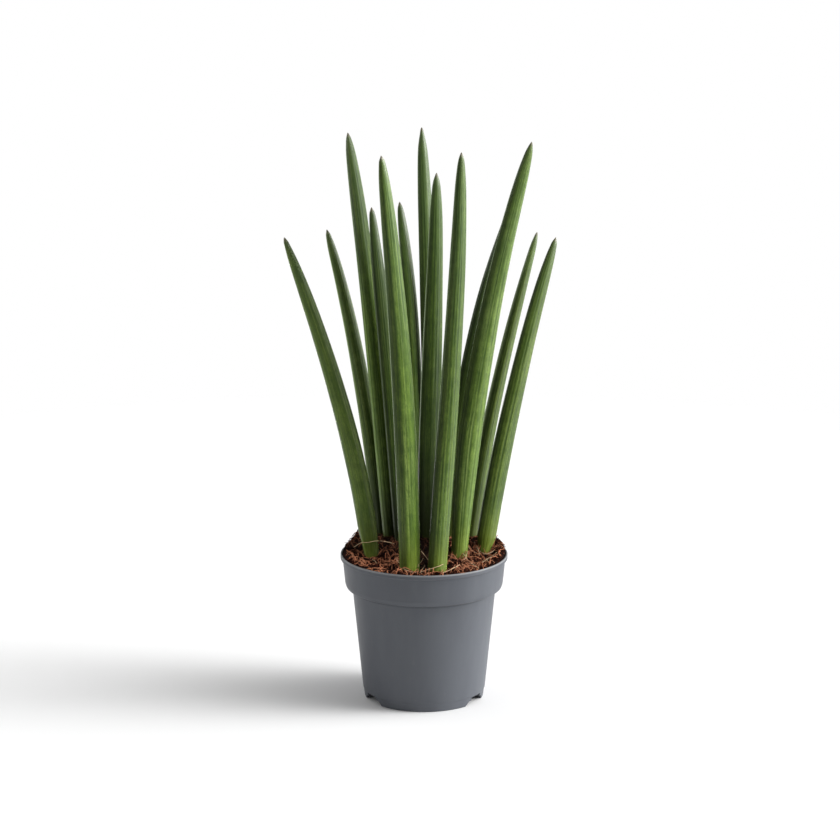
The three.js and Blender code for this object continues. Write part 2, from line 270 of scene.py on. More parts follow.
# ------------------------------------------------------------------ node helpers
class Mat:
    """A material with one Principled shader and small helpers to wire nodes to it."""

    def __init__(self, name):
        self.mat = bpy.data.materials.new(name)
        self.mat.use_nodes = True
        self.t = self.mat.node_tree
        self.t.nodes.clear()
        self.out = self.t.nodes.new("ShaderNodeOutputMaterial")
        self.bsdf = self.t.nodes.new("ShaderNodeBsdfPrincipled")
        self.t.links.new(self.bsdf.outputs[0], self.out.inputs["Surface"])

    def put(self, socket, value):
        if isinstance(value, bpy.types.NodeSocket):
            self.t.links.new(value, socket)
        elif value is not None:
            if hasattr(socket, "default_value") and socket.type == "RGBA" and len(value) == 3:
                value = (*value, 1.0)
            socket.default_value = value

    def attr(self, name, out="Vector"):
        n = self.t.nodes.new("ShaderNodeAttribute")
        n.attribute_name = name
        return n.outputs[out]

    def math(self, op, a, b=None, c=None, clamp=False):
        n = self.t.nodes.new("ShaderNodeMath")
        n.operation = op
        n.use_clamp = clamp
        for s, v in zip(n.inputs, (a, b, c)):
            if v is not None:
                self.put(s, v)
        return n.outputs[0]

    def vmul(self, v, scale):
        n = self.t.nodes.new("ShaderNodeVectorMath")
        n.operation = "MULTIPLY"
        self.put(n.inputs[0], v)
        n.inputs[1].default_value = scale
        return n.outputs[0]

    def vadd(self, v, w):
        n = self.t.nodes.new("ShaderNodeVectorMath")
        n.operation = "ADD"
        self.put(n.inputs[0], v)
        self.put(n.inputs[1], w)
        return n.outputs[0]

    def noise(self, v, scale=1.0, detail=2.0, rough=0.5, distortion=0.0):
        n = self.t.nodes.new("ShaderNodeTexNoise")
        self.put(n.inputs["Vector"], v)
        n.inputs["Scale"].default_value = scale
        n.inputs["Detail"].default_value = detail
        n.inputs["Roughness"].default_value = rough
        n.inputs["Distortion"].default_value = distortion
        return n.outputs["Fac"]

    def voronoi(self, v, scale=1.0, feature="F1"):
        n = self.t.nodes.new("ShaderNodeTexVoronoi")
        n.feature = feature
        self.put(n.inputs["Vector"], v)
        n.inputs["Scale"].default_value = scale
        return n.outputs["Distance"]

    def ramp(self, v, lo, hi, out_lo=0.0, out_hi=1.0):
        n = self.t.nodes.new("ShaderNodeMapRange")
        n.interpolation_type = "SMOOTHSTEP"
        self.put(n.inputs["Value"], v)
        n.inputs["From Min"].default_value = lo
        n.inputs["From Max"].default_value = hi
        n.inputs["To Min"].default_value = out_lo
        n.inputs["To Max"].default_value = out_hi
        return n.outputs["Result"]

    def mix(self, fac, a, b, blend="MIX"):
        n = self.t.nodes.new("ShaderNodeMix")
        n.data_type = "RGBA"
        n.blend_type = blend
        self.put(n.inputs[0], fac)
        self.put(n.inputs[6], a)
        self.put(n.inputs[7], b)
        return n.outputs[2]

    def sep(self, v):
        n = self.t.nodes.new("ShaderNodeSeparateXYZ")
        self.put(n.inputs[0], v)
        return n.outputs

    def bump(self, height, distance, strength=1.0, normal=None):
        n = self.t.nodes.new("ShaderNodeBump")
        n.inputs["Strength"].default_value = strength
        n.inputs["Distance"].default_value = distance
        self.put(n.inputs["Height"], height)
        if normal is not None:
            self.put(n.inputs["Normal"], normal)
        return n.outputs[0]

    def coords(self):
        return self.t.nodes.new("ShaderNodeTexCoord").outputs["Object"]

    def finish(self, color, rough, normal=None, **fixed):
        self.put(self.bsdf.inputs["Base Color"], color)
        self.put(self.bsdf.inputs["Roughness"], rough)
        if normal is not None:
            self.put(self.bsdf.inputs["Normal"], normal)
        for key_, val in fixed.items():
            self.bsdf.inputs[key_.replace("_", " ")].default_value = val
        return self.mat


# ------------------------------------------------------------------ the leaves' places (as in the frame)
FROM_TIP = [0, 0.7, 1.8, 4, 8, 14, 22, 34, 52, 80, 120, 170, 220]
# path: centre line from the rooted foot to the tip. radii: at FROM_TIP. collar: (from tip, radius). foot: radius.
LEAVES = {
    "leaf_01": {
        "path": [(-34, 2.5, 78), (-40, 0.3, 120.6), (-46.1, -1.8, 157.9), (-53.9, -4.4, 194.9), (-63.2, -7.6, 231.6), (-73.6, -11.2, 267.8), (-85.1, -15.3, 303.7), (-97.4, -20, 339.3)],
        "radii": [0, 0.5, 0.95, 1.63, 2.1, 2.74, 3.35, 3.98, 4.66, 5.36, 6.15, 6.82, 6.86],
        "collar": (242, 5.39),
        "foot": 4.63,
    },
    "leaf_02": {
        "path": [(-28.6, 37.8, 88), (-31.3, 39.9, 121.8), (-35.7, 42.4, 157.1), (-40.6, 45.4, 192.3), (-46.4, 48.9, 227.3), (-53.1, 52.8, 262), (-61, 57.2, 296.5), (-70.2, 62, 330.6)],
        "radii": [0, 0.5, 0.95, 1.68, 2.26, 2.89, 3.35, 3.83, 4.39, 5.05, 5.79, 6.16, 6.08],
        "collar": (227.4, 5.99),
        "foot": 5.15,
    },
    "leaf_03": {
        "path": [(-20.9, 25.2, 78), (-24.9, 27.2, 125.8), (-28.8, 29.5, 172.1), (-32.8, 32.4, 218.5), (-37.2, 35.9, 264.7), (-42.1, 40, 310.8), (-47.8, 44.7, 356.8), (-54.4, 50, 402.6)],
        "radii": [0, 0.5, 0.95, 1.72, 2.49, 3.33, 3.89, 4.55, 5.21, 5.68, 6.09, 6.27, 6.23],
        "collar": (297.4, 5.76),
        "foot": 4.95,
    },
    "leaf_04": {
        "path": [(-13.5, 14, 78), (-17.3, 15.4, 129.3), (-20.2, 16.5, 166.7), (-23.2, 17.7, 204), (-26.4, 19, 241.4), (-29.8, 20.6, 278.7), (-33.4, 22.2, 316), (-37.3, 24, 353.2)],
        "radii": [0, 0.5, 0.95, 1.85, 2.4, 2.9, 3.4, 4.04, 4.62, 5.02, 5.32, 5.51, 5.47],
        "collar": (239.4, 5.26),
        "foot": 4.52,
    },
    "leaf_05": {
        "path": [(-9.4, -30.2, 78), (-10.7, -32.9, 130), (-12.1, -35.5, 175.5), (-14.2, -38.6, 221), (-16.9, -42.2, 266.4), (-20.4, -46.2, 311.7), (-24.5, -50.9, 356.9), (-29.3, -56, 402)],
        "radii": [0, 0.5, 0.95, 1.95, 2.56, 3.3, 3.95, 4.59, 5.3, 5.99, 6.87, 7.49, 7.82],
        "collar": (291.2, 7.43),
        "foot": 6.39,
    },
    "leaf_06": {
        "path": [(-6.8, 37.8, 78), (-6.6, 39.8, 126.5), (-6.3, 42.4, 164), (-6.6, 45.6, 201.6), (-7.8, 49.4, 239), (-9.9, 53.7, 276.4), (-13.2, 58.6, 313.5), (-17.7, 64, 350.5)],
        "radii": [0, 0.5, 0.95, 1.75, 2.39, 2.95, 3.47, 3.95, 4.57, 5.11, 5.49, 5.31, 5.17],
        "collar": (240.3, 5.11),
        "foot": 4.4,
    },
    "leaf_07": {
        "path": [(9, 35.2, 78), (7.3, 37.4, 130.3), (6, 40.1, 176.2), (4.7, 43.2, 222), (3.4, 46.8, 267.8), (1.9, 50.7, 313.6), (0.2, 55.1, 359.3), (-1.7, 60, 405)],
        "radii": [0, 0.5, 0.95, 1.34, 2.16, 3.11, 3.75, 4.32, 4.83, 5.27, 5.72, 6.12, 6.24],
        "collar": (293.3, 6.02),
        "foot": 5.18,
    },
    "leaf_08": {
        "path": [(2.4, 18.6, 78), (3.1, 17.8, 140.6), (3.7, 17.2, 180.5), (4.8, 16.5, 220.3), (6, 15.6, 260.2), (7.2, 14.6, 300), (8.2, 13.4, 339.8), (8.7, 12, 379.6)],
        "radii": [0, 0.5, 0.95, 1.77, 2.71, 3.4, 4.09, 4.8, 5.39, 6.02, 6.92, 7.55, 7.68],
        "collar": (254.4, 7.59),
        "foot": 6.53,
    },
    "leaf_09": {
        "path": [(7.3, -36.3, 78), (10.7, -38.8, 129), (13.7, -41.4, 175.1), (16.8, -44.5, 221.2), (19.6, -48.2, 267.3), (22.1, -52.5, 313.3), (24, -57.5, 359.3), (25.2, -63, 405.2)],
        "radii": [0, 0.5, 0.95, 1.72, 2.45, 3.09, 3.71, 4.3, 4.89, 5.64, 6.19, 6.73, 7.05],
        "collar": (295.4, 6.94),
        "foot": 5.97,
    },
    "leaf_10": {
        "path": [(18.2, 24.2, 78), (20.3, 25.5, 126.4), (22.7, 27.2, 163.4), (27, 29.4, 200.2), (33.1, 31.9, 236.7), (40.7, 34.8, 272.9), (49.5, 38.2, 308.9), (59.3, 42, 344.5)],
        "radii": [0, 0.5, 0.95, 1.63, 2.2, 2.75, 3.33, 4.15, 5.17, 6.02, 6.29, 5.78, 5.49],
        "collar": (237, 5.37),
        "foot": 4.62,
    },
    "leaf_11": {
        "path": [(23.6, -4.5, 78), (26.5, -6.8, 127.8), (30.3, -9.4, 175.2), (35.9, -12.6, 222.4), (43.1, -16.5, 269.3), (51.9, -21, 315.9), (62.3, -26.2, 362.1), (73.9, -32, 407.9)],
        "radii": [0, 0.5, 0.95, 1.61, 2.53, 3.26, 4, 4.69, 5.38, 6.14, 7.15, 8.09, 8.28],
        "collar": (304, 6.01),
        "foot": 5.17,
    },
    "leaf_12": {
        "path": [(29.5, 32.6, 78), (36.2, 34.5, 124.7), (41.6, 37.4, 159.3), (48.1, 40.9, 193.7), (55.4, 44.9, 227.9), (63.5, 49.4, 261.9), (72.3, 54.5, 295.6), (81.6, 60, 329.1)],
        "radii": [0, 0.5, 0.95, 1.39, 2, 2.49, 2.86, 3.31, 3.87, 4.45, 4.97, 5.5],
        "collar": (224.7, 5.02),
        "foot": 4.32,
    },
    "leaf_13": {
        "path": [(39.3, 9.2, 78), (45.9, 11.7, 120.7), (52, 14, 156.2), (58.9, 16.9, 191.4), (66.6, 20.3, 226.4), (74.8, 24.3, 261.2), (84, 28.9, 295.8), (94.1, 34, 329.9)],
        "radii": [0, 0.5, 0.95, 1.81, 2.44, 3.14, 3.75, 4.42, 5.04, 5.65, 6.38, 6.96, 6.79],
        "collar": (229.9, 5.22),
        "foot": 4.49,
    },
}


def centre_line(path, per=60):
    """Centripetal Catmull-Rom through the points, densely sampled."""
    p = np.asarray(path, float)
    p = np.vstack([2 * p[0] - p[1], p, 2 * p[-1] - p[-2]])
    out = []
    for k in range(1, len(p) - 2):
        p0, p1, p2, p3 = p[k - 1 : k + 3]
        t0 = 0.0
        t1 = t0 + np.linalg.norm(p1 - p0) ** 0.5
        t2 = t1 + np.linalg.norm(p2 - p1) ** 0.5
        t3 = t2 + np.linalg.norm(p3 - p2) ** 0.5
        t = np.linspace(t1, t2, per, endpoint=False)[:, None]
        a1 = (t1 - t) / (t1 - t0) * p0 + (t - t0) / (t1 - t0) * p1
        a2 = (t2 - t) / (t2 - t1) * p1 + (t - t1) / (t2 - t1) * p2
        a3 = (t3 - t) / (t3 - t2) * p2 + (t - t2) / (t3 - t2) * p3
        b1 = (t2 - t) / (t2 - t0) * a1 + (t - t0) / (t2 - t0) * a2
        b2 = (t3 - t) / (t3 - t1) * a2 + (t - t1) / (t3 - t1) * a3
        out.append((t2 - t) / (t2 - t1) * b1 + (t - t1) / (t2 - t1) * b2)
    out.append(p[-2][None])
    return np.vstack(out)


def pchip(x, xs, ys):
    """Monotone cubic through (xs, ys)."""
    xs, ys = np.asarray(xs, float), np.asarray(ys, float)
    h, d = np.diff(xs), np.diff(ys) / np.diff(xs)
    m = np.zeros_like(ys)
    m[0], m[-1] = d[0], d[-1]
    for k in range(1, len(xs) - 1):
        if d[k - 1] * d[k] > 0:
            w1, w2 = 2 * h[k] + h[k - 1], h[k] + 2 * h[k - 1]
            m[k] = (w1 + w2) / (w1 / d[k - 1] + w2 / d[k])
    x = np.clip(x, xs[0], xs[-1])
    i = np.clip(np.searchsorted(xs, x, side="right") - 1, 0, len(xs) - 2)
    t = (x - xs[i]) / h[i]
    h00, h10 = 2 * t**3 - 3 * t**2 + 1, t**3 - 2 * t**2 + t
    h01, h11 = -2 * t**3 + 3 * t**2, t**3 - t**2
    return h00 * ys[i] + h10 * h[i] * m[i] + h01 * ys[i + 1] + h11 * h[i] * m[i + 1]


class Leaf:
    def __init__(self, name, spec):
        self.name = name
        self.line = centre_line(spec["path"])
        seg = np.linalg.norm(np.diff(self.line, axis=0), axis=1)
        self.s = np.concatenate([[0], np.cumsum(seg)])
        self.length = self.s[-1]
        n = len(spec["radii"])
        self.d = np.array(FROM_TIP[:n] + [spec["collar"][0], self.length])
        self.r = np.array(spec["radii"] + [spec["collar"][1], spec["foot"]])

    def point(self, s):
        return np.stack([np.interp(s, self.s, self.line[:, k]) for k in range(3)], -1)

    def radius(self, s):
        return np.maximum(pchip(self.length - np.asarray(s, float), self.d, self.r), 0.0)

    def at_height(self, z):
        """Centre and radius at height z."""
        s = np.interp(z, self.line[:, 2], self.s)
        return self.point(s), self.radius(s)


leaves = {n: Leaf(n, spec) for n, spec in LEAVES.items()}


# ------------------------------------------------------------------ leaf meshes
LEAF_SIDES, LEAF_ROWS = 120, 132


def make_leaf(leaf, number):
    rng = np.random.default_rng(SEED + 31 * number)
    L = leaf.length
    # rows are close together at the tip, and even from there to the foot
    d = np.concatenate(
        [
            [0.18, 0.45, 0.8, 1.2, 1.7, 2.3, 3.0, 3.8, 4.8, 6.0, 7.4, 9.0, 10.8, 12.8],
            np.linspace(14.8, L, LEAF_ROWS - 14),
        ]
    )[::-1]
    s = L - d
    th = np.arange(LEAF_SIDES) / LEAF_SIDES * 2 * math.pi
    S, T = np.meshgrid(s, th, indexing="ij")
    r0 = leaf.radius(s)
    # lengthwise grooves: each at its own angle, wandering and fading in and out, with a low ridge between each two
    count = rng.integers(14, 18)
    angles = (np.arange(count) + rng.uniform(-0.30, 0.30, count)) / count * 2 * math.pi
    depth = rng.uniform(0.40, 1.0, count)
    groove = np.zeros_like(S)
    near = np.full_like(S, 9.0)
    for k in range(count):
        wander = 0.07 * noise3(np.stack([s / 80, np.full_like(s, 3.1 * k), np.zeros_like(s)], -1), 100 + number)
        fade = smoothstep(
            noise3(np.stack([s / 34, np.full_like(s, 7.7 * k), np.ones_like(s)], -1), 200 + number), -0.45, 0.25
        )
        off = (T - angles[k] - wander[:, None] + math.pi) % (2 * math.pi) - math.pi
        width = 0.042 + 0.018 * (k % 3)
        groove += depth[k] * (0.30 + 0.70 * fade[:, None]) * np.exp(-((off / width) ** 2))
        near = np.minimum(near, np.abs(off) * (2 - 0.8 * depth[k]))
    groove = np.clip(groove, 0, 1)
    ridge = np.clip(near / (math.pi / count * 1.3), 0, 1)
    ridge = 1 - (1 - ridge) ** 2
    calm = smoothstep(L - S, 3, 30)
    cx, sx = np.cos(T), np.sin(T)
    P = np.stack([cx * 2.0, sx * 2.0, S / 22], -1).reshape(-1, 3)
    lump = noise3(P, 300 + number).reshape(S.shape)
    P = np.stack([cx * 0.9, sx * 0.9, S / 75], -1).reshape(-1, 3)
    slow = noise3(P + 5.0, 400 + number).reshape(S.shape)
    ph = rng.uniform(0, 2 * math.pi, 3)
    oval = 0.012 * np.cos(2 * (T - ph[0])) + 0.009 * np.cos(3 * (T - ph[1])) + 0.006 * np.cos(5 * (T - ph[2]))
    fine = calm * np.minimum(1, r0[:, None] / 5.5)
    R = r0[:, None] * (1 + oval + 0.010 * slow + 0.006 * lump) + fine * (0.10 * (ridge - 0.75) - 0.14 * groove)
    R = np.maximum(R, 0.02)
    c = leaf.point(s)
    tan = leaf.point(np.minimum(s + 0.5, L)) - leaf.point(np.maximum(s - 0.5, 0))
    tan /= np.linalg.norm(tan, axis=1)[:, None]
    side = np.array([1.0, 0, 0]) - tan * tan[:, :1]
    side /= np.linalg.norm(side, axis=1)[:, None]
    up = np.cross(tan, side)
    co = c[:, None] + side[:, None] * (R * cx)[..., None] + up[:, None] * (R * sx)[..., None]
    rows = len(s)
    co = co.reshape(-1, 3)
    tip = leaf.point(np.array([L]))[0]
    foot = leaf.point(np.array([0.0]))[0]
    co = np.vstack([co, foot, tip])
    fi, ti = rows * LEAF_SIDES, rows * LEAF_SIDES + 1
    quads = grid_faces(rows, LEAF_SIDES)
    j = np.arange(LEAF_SIDES)
    nj = (j + 1) % LEAF_SIDES
    low = np.stack([nj, j, np.full_like(j, fi)], -1)
    last = (rows - 1) * LEAF_SIDES
    high = np.stack([last + j, last + nj, np.full_like(j, ti)], -1)
    skin = np.stack([6.5 * cx, 6.5 * sx, S], -1).reshape(-1, 3)
    skin = np.vstack([skin, [0, 0, 0], [0, 0, L]]) + np.array([0, 0, 613.0 * number])
    z_mix = mix_height(co[:, 0], co[:, 1])
    marks = np.stack(
        [
            np.concatenate([(groove * calm).ravel(), [0, 0]]),
            np.concatenate([(L - S).ravel(), [L, 0]]),
            co[:, 2] - z_mix,
        ],
        -1,
    )
    ob = build_mesh(leaf.name + "_skin", co, quads, np.vstack([low, high]), {"skin": skin, "marks": marks})
    return ob


# ------------------------------------------------------------------ potting mix: height of its surface
def mix_height(x, y):
    x, y = np.asarray(x, float), np.asarray(y, float)
    s = smoothstep(y, -15, 25)
    r = np.hypot(x, y)
    h = 103.0 + 5.0 * s + 8.0 * np.exp(-((x + 2) ** 2) / 648 - (y - 22) ** 2 / 392)
    h -= 2.6 * s * smoothstep(r, 49, 58)
    h += 6.5 * np.exp(-((x + 45) ** 2 + (y - 25) ** 2) / 34)  # heap at the back left
    h += 1.2 * np.exp(-((x - 22) ** 2 + (y + 10) ** 2) / 240)  # around the right-hand leaves
    h -= 2.4 * np.exp(-((x - 45) ** 2 + (y - 4) ** 2) / 120)
    h -= 1.6 * np.exp(-((x + 39) ** 2 + (y + 10) ** 2) / 120)
    for bx, by, up, wide in ((-17.5, -49, 3.6, 11), (-3.5, -50.5, 3.0, 9), (4.5, -50, 1.8, 10), (21.5, -49, 2.0, 11)):
        h += up * np.exp(-((x - bx) ** 2 + (y - by) ** 2) / wide)  # scuffed up beside the two front leaves
    h -= 5.0 * np.exp(-((x + 0.5) ** 2) / 26 - (y + 30) ** 2 / 190)  # hollow between the two front leaves
    return h


def mix_detail(x, y):
    """The surface with its lumps, hollows and the gap along the front of the rim."""
    p = np.stack([x, y, np.zeros_like(x)], -1)
    h = mix_height(x, y)
    r = np.hypot(x, y)
    rough = 1.9 * fbm(p / 8.0, 3, 11) + 1.1 * fbm(p / 3.1, 3, 12) + 0.5 * noise3(p / 1.25, 13)
    h = h + rough * (1 - 0.6 * smoothstep(r, 50, 57))
    front = 1 - smoothstep(y, -40, -14)
    side = smoothstep(np.abs(x), 38, 52) * (1 - front)
    h = h - front * 2.0 * smoothstep(r, 53.5, 57.5) + side * np.where(x > 0, 5.2, 3.0) * smoothstep(r, 48, 56)
    return h


def mix_painted_shade(x, y):
    """Painted shade on the mix, 0 to 1: among the leaf bases, where the leaves shade it; and darker against the left
    of the rim.
    """
    a = np.exp(-(((x + 21) / 23) ** 2) - ((y - 17) / 20) ** 2)
    b = np.exp(-((x / 9.0) ** 2)) * smoothstep(y, -52, -42) * (1 - smoothstep(y, 24, 34))
    c = 0.6 * np.exp(-(((x + 53) / 9) ** 2) - ((y - 12) / 17) ** 2)
    return np.clip(a + b + c, 0, 1)


# ------------------------------------------------------------------ leaf material
def leaf_material(name, gain, dull=0.0, yellow=0.0, painted_shade=0.0, painted_shade_to=66.0, top=1.0):
    m = Mat(name)
    skin = m.attr("skin")
    marks = m.sep(m.attr("marks"))
    groove, from_tip, above = marks[0], marks[1], marks[2]
    # slow change of tone along and round the leaf, clouded at the size of a fingertip
    cloud = m.noise(m.vmul(skin, (0.15, 0.15, 0.050)), 1.0, 4.0, 0.65)
    patch = m.noise(m.vmul(skin, (0.42, 0.42, 0.13)), 1.0, 3.0, 0.6)
    tone = m.math("ADD", m.math("MULTIPLY", cloud, 0.55), m.math("MULTIPLY", patch, 0.45))
    tone = m.ramp(tone, 0.33, 0.67)
    color = m.mix(tone, LEAF_DARK, LEAF_LIGHT)
    # waxy bloom, paler and a little bluer
    bloom = m.noise(m.vmul(skin, (0.24, 0.24, 0.020)), 1.0, 3.0, 0.65)
    color = m.mix(m.ramp(bloom, 0.46, 0.70, 0.0, 0.36), color, (0.062, 0.090, 0.026))
    # vague bands across the leaf
    band = m.noise(m.vmul(skin, (0.045, 0.045, 0.125)), 1.0, 3.0, 0.62)
    color = m.mix(m.ramp(band, 0.49, 0.64, 0.0, 0.36), color, (0.015, 0.031, 0.003))
    # stripes along it: broad and pale, broad and dark, thin and dark, then short dashes and the grooves
    pale = m.noise(m.vadd(m.vmul(skin, (0.62, 0.62, 0.010)), (31.0, 7.0, 3.0)), 1.0, 2.0, 0.55)
    color = m.mix(m.ramp(pale, 0.53, 0.62, 0.0, 0.46), color, (0.074, 0.108, 0.024))
    wide = m.noise(m.vadd(m.vmul(skin, (0.55, 0.55, 0.009)), (3.0, 57.0, 11.0)), 1.0, 2.0, 0.5)
    color = m.mix(m.ramp(wide, 0.53, 0.66, 0.0, 0.40), color, (0.013, 0.029, 0.003))
    vein = m.noise(m.vmul(skin, (1.15, 1.15, 0.011)), 1.0, 2.0, 0.6)
    color = m.mix(m.ramp(vein, 0.55, 0.63, 0.0, 0.54), color, (0.009, 0.021, 0.002))
    dash = m.noise(m.vmul(skin, (1.5, 1.5, 0.17)), 1.0, 2.0, 0.6)
    color = m.mix(m.ramp(dash, 0.56, 0.63, 0.0, 0.56), color, (0.010, 0.024, 0.003))
    color = m.mix(m.math("MULTIPLY", groove, 0.66), color, (0.006, 0.016, 0.002))
    pores = m.noise(m.vmul(skin, (1.5, 1.5, 1.1)), 1.0, 2.0, 0.55)
    color = m.mix(m.ramp(pores, 0.38, 0.52, 0.42, 0.0), color, (0.011, 0.026, 0.003))
    if dull:
        color = m.mix(dull, color, (0.020, 0.033, 0.008))
    # each leaf's colour scaled by its gain: partly its own tone, partly painted light and shade for how much light the
    # leaf gets
    color = m.mix(1.0, color, (gain[0], gain[1], 0.93 * gain[2]), "MULTIPLY")
    # painted shade: the upper part of the leaf darkened by the factor top, fully in the last 70 mm to the tip and
    # fading out by 140 mm from it
    if top < 1:
        color = m.mix(m.ramp(from_tip, 70.0, 140.0, 1.0, 0.0), color, m.mix(1.0, color, (top, top, top), "MULTIPLY"))
    # more bloom left on the upper half, purer green below
    color = m.mix(m.ramp(above, 110.0, 260.0, 0.0, 0.13), color, (0.046, 0.070, 0.040))
    # younger, yellower skin where the leaf leaves the mix
    reach = m.math("ADD", above, m.math("MULTIPLY", m.noise(m.vmul(skin, (0.8, 0.8, 0.03)), 1.0), 14.0))
    low = m.ramp(reach, 8.0, 46.0, 0.24 + yellow, 0.0)
    color = m.mix(low, color, (0.092, 0.108, 0.008))
    # painted shade: the lower part of the leaf darkened, fading out from 14 mm above the mix up to the given height,
    # where the other leaves shade it
    if painted_shade:
        color = m.mix(m.ramp(reach, 14.0, painted_shade_to, painted_shade, 0.0), color, (0.0035, 0.0060, 0.0015))
    # a dry sheath, thin and uneven, just over the mix
    edge_noise = m.noise(m.vmul(skin, (1.1, 1.1, 0.25)), 1.0, 3.0, 0.7)
    line = m.math("ADD", above, m.math("MULTIPLY", edge_noise, 7.0))
    color = m.mix(m.ramp(line, 2.6, 5.4, 0.80, 0.0), color, (0.120, 0.060, 0.020))
    # the dry point
    tip = m.math("ADD", from_tip, m.math("MULTIPLY", m.noise(m.vmul(skin, (0.7, 0.7, 0.5)), 1.0), 2.0))
    color = m.mix(m.ramp(tip, 1.6, 5.5, 0.92, 0.0), color, (0.060, 0.043, 0.030))
    color = m.mix(m.ramp(from_tip, 3.0, 24.0, 0.35, 0.0), color, (0.022, 0.028, 0.011))
    rough = m.math("ADD", 0.40, m.math("MULTIPLY", cloud, 0.12))
    rough = m.math("ADD", rough, m.math("MULTIPLY", groove, 0.12))
    # the waxy skin turns glossier at a grazing angle
    facing = m.t.nodes.new("ShaderNodeLayerWeight")
    facing.inputs["Blend"].default_value = 0.5
    rough = m.math("MULTIPLY", rough, m.ramp(facing.outputs["Facing"], 0.46, 0.70, 1.0, 0.42))
    fine = m.noise(m.vmul(skin, (2.6, 2.6, 0.09)), 1.0, 3.0, 0.6)
    n = m.bump(m.math("ADD", m.math("MULTIPLY", fine, 0.7), m.math("MULTIPLY", vein, 0.8)), 0.00022, 0.60)
    n = m.bump(pores, 0.00012, 0.35, n)
    return m.finish(color, rough, n, **{"Specular_IOR_Level": 0.15, "Sheen_Weight": 0.07, "Sheen_Roughness": 0.35, "Sheen_Tint": (0.88, 1.0, 0.84, 1.0)})


LEAF_DARK, LEAF_LIGHT = (0.019, 0.038, 0.003), (0.044, 0.074, 0.010)
# per leaf: its green (red, green, blue), partly its own tone and partly painted light and shade for how lit the leaf
# is; how dull; how yellow towards the mix; how strong the painted shade at the foot is, and how high above the mix it
# fades out; how far the painted shade darkens the upper part
LEAF_LOOKS = {
    "leaf_01": ((1.13, 1.03, 1.03), 0.20, 0.0, 0.30),
    "leaf_02": ((1.62, 1.44, 1.76), 0.20, 0.0, 0.80, 90.0),
    "leaf_03": ((1.74, 1.66, 1.42), 0.16, 0.0, 0.70, 66.0, 0.44),
    "leaf_04": ((0.78, 0.77, 0.68), 0.22, 0.0, 0.85, 66.0, 0.86),
    "leaf_05": ((1.34, 1.25, 1.44), 0.0, 0.05),
    "leaf_06": ((1.10, 1.08, 1.10), 0.20, 0.0, 0.80),
    "leaf_07": ((0.98, 0.97, 0.86), 0.30, 0.0, 0.76, 96.0),
    "leaf_08": ((1.02, 1.03, 0.92), 0.18, 0.0, 0.84, 92.0),
    "leaf_09": ((0.90, 0.87, 0.86), 0.0, 0.0),
    "leaf_10": ((0.40, 0.43, 0.26), 0.30, 0.0, 0.5),
    "leaf_11": ((1.39, 1.27, 1.58), 0.0, 0.0),
    "leaf_12": ((1.18, 1.08, 1.04), 0.30, 0.0, 0.50),
    "leaf_13": ((0.91, 0.85, 0.85), 0.0, 0.04),
}
for number, (leaf_name, leaf) in enumerate(leaves.items(), 1):
    ob = make_leaf(leaf, number)
    ob.data.materials.append(leaf_material(leaf_name + "_skin", *LEAF_LOOKS[leaf_name]))
    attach(ob, "root")
    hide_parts(leaf_name)
    (first if leaf_name == "leaf_01" else lit).objects.link(ob)
    if leaf_name not in ("leaf_11", "leaf_13"):
        rim.objects.link(ob)
    if leaf_name in ("leaf_05", "leaf_09", "leaf_11", "leaf_12", "leaf_13"):
        right.objects.link(ob)
        bright.objects.link(ob)
    if leaf_name not in ("leaf_01", "leaf_03"):
        gleam.objects.link(ob)
    edged.objects.link(ob)
    if leaf_name == "leaf_06":
        sixth.objects.link(ob)
    if leaf_name in ("leaf_01", "leaf_02", "leaf_03"):
        outer.objects.link(ob)


# ------------------------------------------------------------------ pot
def filleted(points, steps=5):
    """Points as (radius, height, fillet). Each corner becomes an arc, with a ring held close to both its ends."""
    pts = [np.array(p[:2], float) for p in points]
    out = []
    for k, (r, z, f) in enumerate(points):
        a = pts[k]
        if f <= 0 or k == 0 or k == len(points) - 1:
            out.append(a)
            continue
        u, v = pts[k - 1] - a, pts[k + 1] - a
        lu, lv = np.linalg.norm(u), np.linalg.norm(v)
        u, v = u / lu, v / lv
        half = math.acos(float(np.clip(u @ v, -1, 1))) / 2
        back = min(f / math.tan(half), 0.46 * lu, 0.46 * lv)
        rad = back * math.tan(half)
        centre = a + (u + v) / np.linalg.norm(u + v) * (rad / math.sin(half))
        p, q = a + u * back, a + v * back
        a0 = math.atan2(*(p - centre)[::-1])
        a1 = math.atan2(*(q - centre)[::-1])
        turn = (a1 - a0 + math.pi) % (2 * math.pi) - math.pi
        hold = min(0.25, 0.25 * (lu - back))
        out.append(p + u * hold)
        out += [centre + rad * np.array([math.cos(a0 + turn * t), math.sin(a0 + turn * t)]) for t in np.linspace(0, 1, steps + 1)]
        hold = min(0.25, 0.25 * (lv - back))
        out.append(q + v * hold)
    return np.array(out)


def lathe(profile, segments):
    """A surface of revolution. Points on the axis are single points."""
    co, rings = [], []
    th = np.arange(segments) / segments * 2 * math.pi
    for r, z in profile:
        if r < 1e-6:
            rings.append((sum(len(c) for c in co), 1))
            co.append(np.array([[0, 0, z]]))
        else:
            rings.append((sum(len(c) for c in co), segments))
            co.append(np.stack([r * np.sin(th), -r * np.cos(th), np.full(segments, z)], -1))
    quads, tris = [], []
    j = np.arange(segments)
    n = (j + 1) % segments
    for (a, na), (b, nb) in zip(rings[:-1], rings[1:]):
        if na > 1 and nb > 1:
            quads.append(np.stack([a + j, a + n, b + n, b + j], -1))
        elif na > 1:
            tris.append(np.stack([a + j, a + n, np.full_like(j, b)], -1))
        elif nb > 1:
            tris.append(np.stack([np.full_like(j, a), b + n, b + j], -1))
    return np.vstack(co), np.vstack(quads), (np.vstack(tris) if tris else ())


